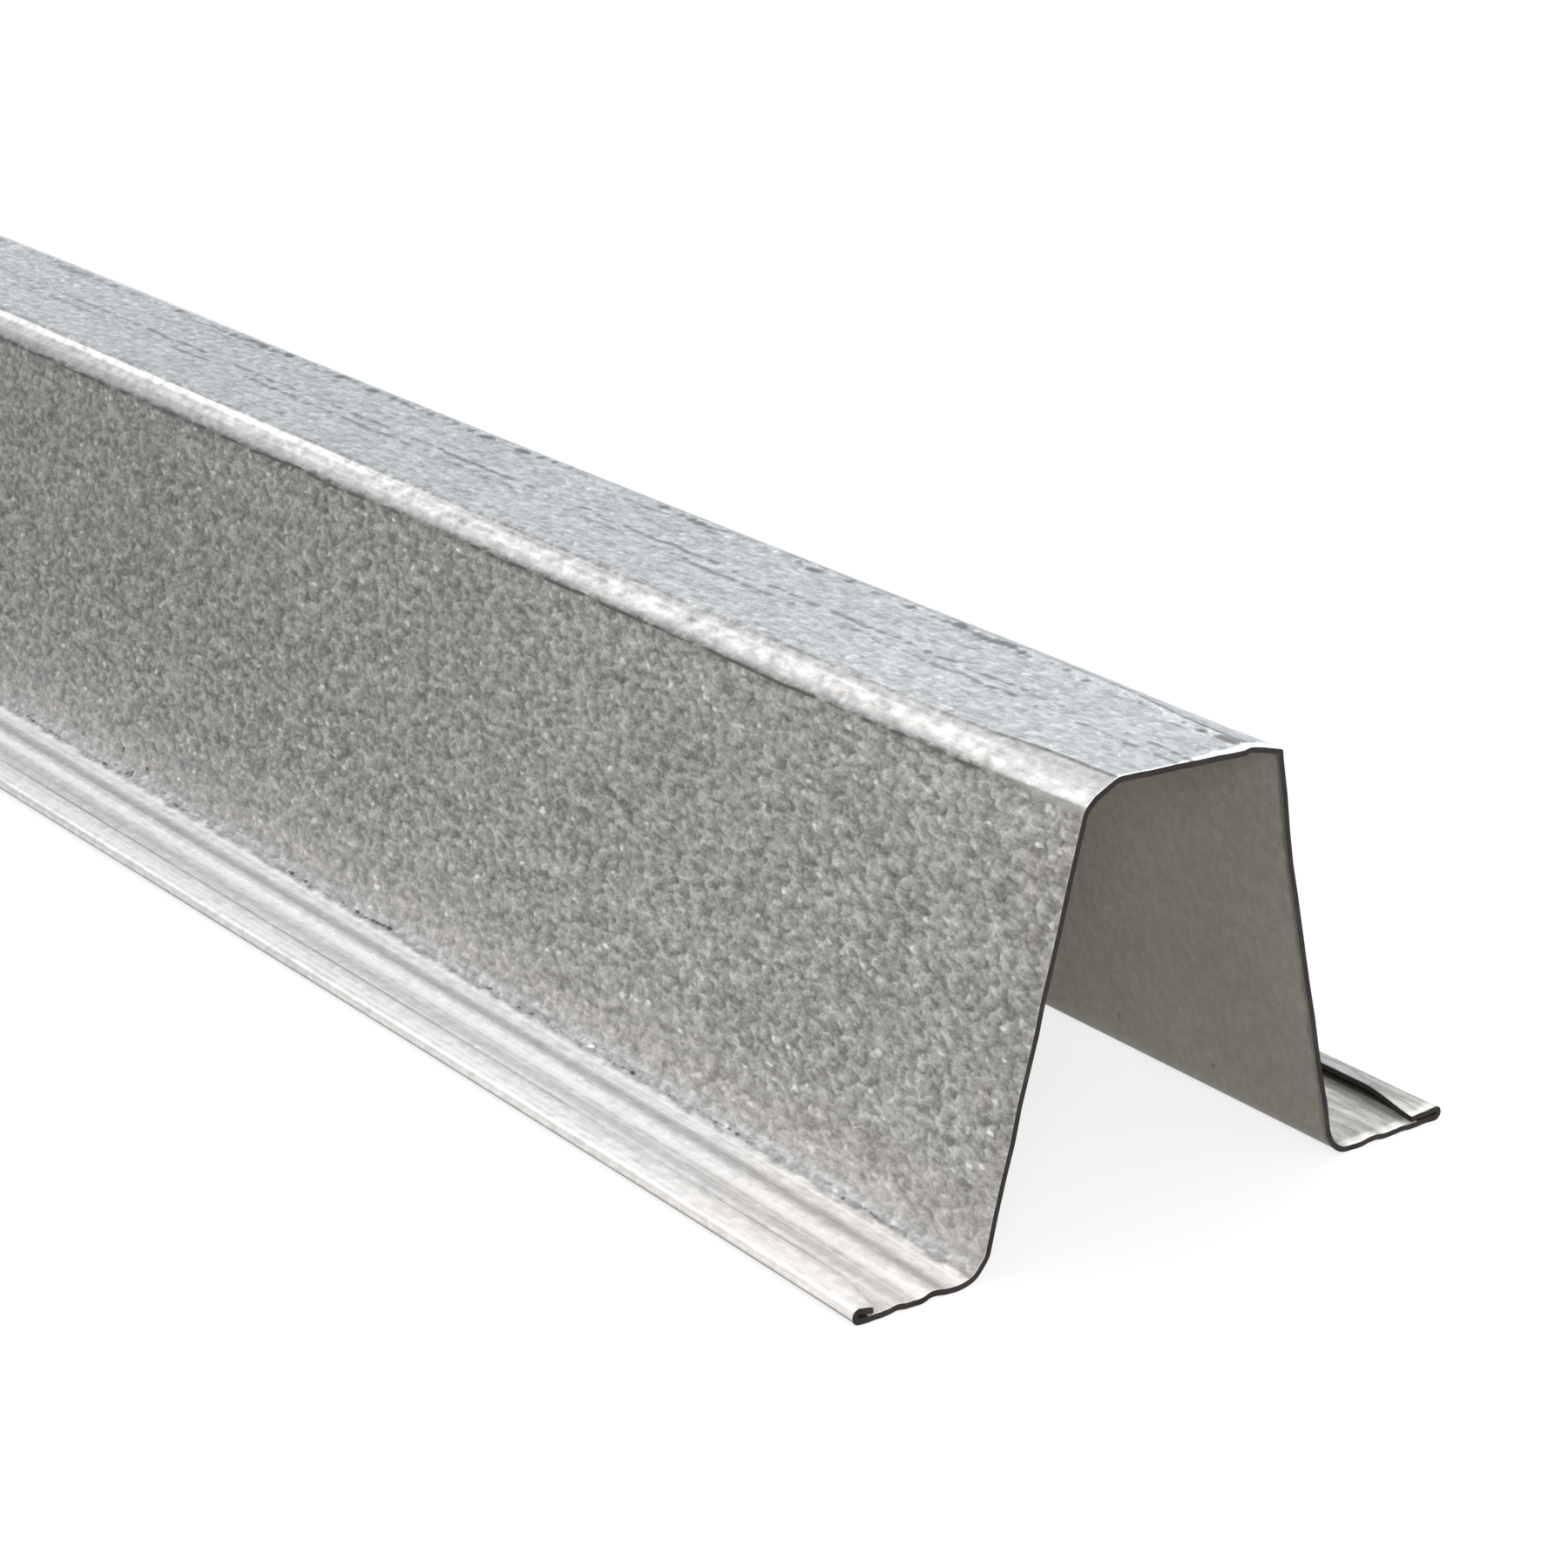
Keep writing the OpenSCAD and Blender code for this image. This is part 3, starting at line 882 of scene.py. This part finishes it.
def innerMaterial(name, look, groups, halfLength):
    material, tree, shader, place = newMaterial(name)
    strip, _, away, toEnd = stripPlaces(tree, halfLength)
    drawn = vectors(tree, "MULTIPLY", place, look["drawn"])
    spangle = placeGroup(tree, groups["spangle"], {"Place": drawn, "Grain": look["grain"], "Flash Share": 0.0,
                                                  "Cloud Size": look["cloudSize"]})
    streak = streaks(tree, groups, strip, look["streakSize"])
    grain = maths(tree, "MULTIPLY", centred(tree, spangle["Tone"]), look["contrast"])
    grain = maths(tree, "MULTIPLY_ADD", centred(tree, streak), look["streak"], grain)
    grain = maths(tree, "MULTIPLY_ADD", centred(tree, spangle["Cloud"]), look["cloud"], grain)
    level = maths(tree, "MULTIPLY", ramp(tree, away, look["levels"]), maths(tree, "ADD", grain, 1.0))
    # painted shade: darker towards the cut ends
    level = maths(tree, "MULTIPLY", level, remap(tree, toEnd, 0.0, look["endReach"], look["endShare"], 1.0))
    rub = rubbed(tree, groups, strip, halfLength, look["rubReach"])
    level = mixValue(tree, rub, level, look["rubLevel"])
    colour = scaled(tree, look["tint"][:3], level)
    dirt = maths(tree, "MULTIPLY", specks(tree, groups, place, look), zone(tree, away, *look["dirtZone"]))
    tree.links.new(mixColour(tree, dirt, colour, look["mark"]), shader.inputs["Base Color"])
    shader.inputs["Metallic"].default_value = look["metallic"]
    shader.inputs["Specular IOR Level"].default_value = look["specular"]
    rough = remap(tree, grain, -0.5, 0.5, look["roughness"][1], look["roughness"][0])
    tree.links.new(rough, shader.inputs["Roughness"])
    addBump(tree, shader, look, spangle["Height"])
    return material


# Bare sheared edges of the sheet
shearedSteel = {
    "dark": (0.016, 0.012, 0.011, 1),
    "light": (0.05, 0.04, 0.034, 1),
    "metallic": 0.6,
    "roughness": (0.62, 0.42),
    "grain": 0.0005,
    "cloudSize": 0.0045,
    "cloudRange": (0.35, 0.7),
    "cloudFloor": 0.2,             # share of the grain left in the darkest clouds
    "bump": 0.4,
    "bumpDepth": 0.0001,
}


def shearedMaterial(groups):
    look = shearedSteel
    material, tree, shader, place = newMaterial("shearedSteel")
    spangle = placeGroup(tree, groups["spangle"], {"Place": place, "Grain": look["grain"], "Flash Share": 0.0,
                                                  "Cloud Size": look["cloudSize"]})
    cloud = remap(tree, spangle["Cloud"], *look["cloudRange"], look["cloudFloor"], 1.0)
    tone = maths(tree, "MULTIPLY", spangle["Tone"], cloud)
    tree.links.new(mixColour(tree, tone, look["dark"], look["light"]), shader.inputs["Base Color"])
    shader.inputs["Metallic"].default_value = look["metallic"]
    tree.links.new(remap(tree, tone, 0.0, 1.0, *look["roughness"]), shader.inputs["Roughness"])
    addBump(tree, shader, look, spangle["Height"])
    return material


# Floor: pale, white to the camera and in reflections, and it keeps the batten's shadow
floorLook = {
    "size": 80.0,
    "drop": 0.0002,
    "seenColour": (0.92, 0.92, 0.92, 1),
    "bounceColour": (0.5, 0.5, 0.49, 1),
    "whiteShare": 0.75,
}


def makeFloor():
    half = floorLook["size"] / 2
    mesh = bpy.data.meshes.new("studioFloor")
    corners = [(-half, -half, 0), (half, -half, 0), (half, half, 0), (-half, half, 0)]
    mesh.from_pydata(corners, [], [(0, 1, 2, 3)])
    floor = bpy.data.objects.new("studio_floor", mesh)
    floor.location.z = -floorLook["drop"]
    bpy.context.scene.collection.objects.link(floor)
    material = bpy.data.materials.new("paleFloor")
    material.use_nodes = True
    tree = material.node_tree
    tree.nodes.clear()
    path = addNode(tree, "ShaderNodeLightPath").outputs
    seen = maths(tree, "MAXIMUM", path["Is Camera Ray"],
                 maths(tree, "MAXIMUM", path["Is Glossy Ray"], path["Is Transmission Ray"]))
    share = maths(tree, "MULTIPLY", seen, floorLook["whiteShare"])
    colour = mixColour(tree, seen, floorLook["bounceColour"], floorLook["seenColour"])
    matte = addNode(tree, "ShaderNodeBsdfDiffuse", {"Color": colour})
    white = addNode(tree, "ShaderNodeEmission", {"Color": (1, 1, 1, 1), "Strength": 1.0})
    mixed = addNode(tree, "ShaderNodeMixShader", {0: share, 1: matte.outputs[0], 2: white.outputs[0]})
    addNode(tree, "ShaderNodeOutputMaterial", {"Surface": mixed.outputs[0]})
    mesh.materials.append(material)
    print("floor made")


# Studio light: a soft room, brighter behind and in front, and four softboxes
studio = {
    "room": (0.07, 0.069, 0.066),
    "backWall": (0.52, 0.63, 0.74),
    "backWay": (-0.15, 0.79, 0.6),
    "backReach": (-0.25, 0.75),
    "frontFill": (0.455, 0.438, 0.413),
    "frontWay": (0.75, -0.66, 0.0),
    "frontReach": (-0.35, 0.40),
    # place, what it is aimed at, size and power
    "softboxes": {
        "backSoftbox": ((0.5, 0.85, 1.3), (1.0, 0.0, 0.0), (1.0, 0.8), 10.0),
        "sideSoftbox": ((-0.75, -0.5, 1.6), (1.05, 0.0, 0.05), (0.8, 0.6), 5.5),
        "endSoftbox": ((1.95, -0.55, 0.45), (1.1, 0.0, 0.0), (0.5, 0.5), 11.5),
        "topSoftbox": ((0.85, -0.45, 1.25), (1.0, 0.0, 0.0), (1.2, 0.6), 5.5),
    },
    "softboxColour": (1.0, 0.97, 0.93),
}


# Light of one wall of the room, strongest along its way
def wallLight(tree, way, colour, towards, reach):
    dot = addNode(tree, "ShaderNodeVectorMath", {0: way, 1: towards}, operation="DOT_PRODUCT")
    facing = dot.outputs["Value"]
    return scaled(tree, colour, remap(tree, facing, *reach, 0.0, 1.0, smooth=True))


def makeLight():
    world = bpy.data.worlds.new("softRoom")
    bpy.context.scene.world = world
    world.use_nodes = True
    tree = world.node_tree
    way = addNode(tree, "ShaderNodeTexCoord").outputs["Generated"]
    back = wallLight(tree, way, studio["backWall"], studio["backWay"], studio["backReach"])
    front = wallLight(tree, way, studio["frontFill"], studio["frontWay"], studio["frontReach"])
    colour = vectors(tree, "ADD", vectors(tree, "ADD", back, front), studio["room"])
    tree.links.new(colour, tree.nodes["Background"].inputs["Color"])
    for name, (place, aim, size, power) in studio["softboxes"].items():
        lamp = bpy.data.lights.new(name, "AREA")
        lamp.shape = "RECTANGLE"
        lamp.size, lamp.size_y = size
        lamp.energy = power
        lamp.color = studio["softboxColour"]
        held = bpy.data.objects.new(name, lamp)
        held.location = place
        held.rotation_euler = (Vector(aim) - Vector(place)).to_track_quat("-Z", "Y").to_euler()
        held.visible_camera = False
        bpy.context.scene.collection.objects.link(held)
    print("studio lit")


# Camera, placed from the near end of the batten: fitted to the edges in the photograph
view = {
    "fromEnd": (0.35241, -0.33204, 0.24097),
    "right": (0.6029654, 0.7977235, 0.0083652),
    "forward": (-0.7452753, 0.5670009, -0.3508199),
    "lens": 93.01,
    "sensor": 36.0,
    "clipStart": 0.01,
}


def makeCamera():
    data = bpy.data.cameras.new("photoCamera")
    data.lens = view["lens"]
    data.sensor_width = view["sensor"]
    data.clip_start = view["clipStart"]
    camera = bpy.data.objects.new("photoCamera", data)
    right, forward = Vector(view["right"]), Vector(view["forward"])
    turn = Matrix((right, right.cross(forward), -forward)).transposed()
    end = Vector((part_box(batten["node"])[1].x, 0, 0))
    camera.matrix_world = Matrix.Translation(end + Vector(view["fromEnd"])) @ turn.to_4x4()
    bpy.context.scene.collection.objects.link(camera)
    bpy.context.scene.camera = camera
    print("camera set")


makeCamera()
sheetPiece = makeBatten()
groups = makeGroups()
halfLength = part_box(batten["node"])[1].x
sheetPiece.data.materials.append(outerMaterial(groups, halfLength))
sheetPiece.data.materials.append(innerMaterial("innerZinc", innerZinc, groups, halfLength))
sheetPiece.data.materials.append(shearedMaterial(groups))
# painted shade inside the hems
sheetPiece.data.materials.append(innerMaterial("hemShadeZinc", hemShadeZinc, groups, halfLength))
print("zinc and sheared steel made")
makeFloor()
makeLight()
bpy.context.scene.view_settings.view_transform = "Standard"
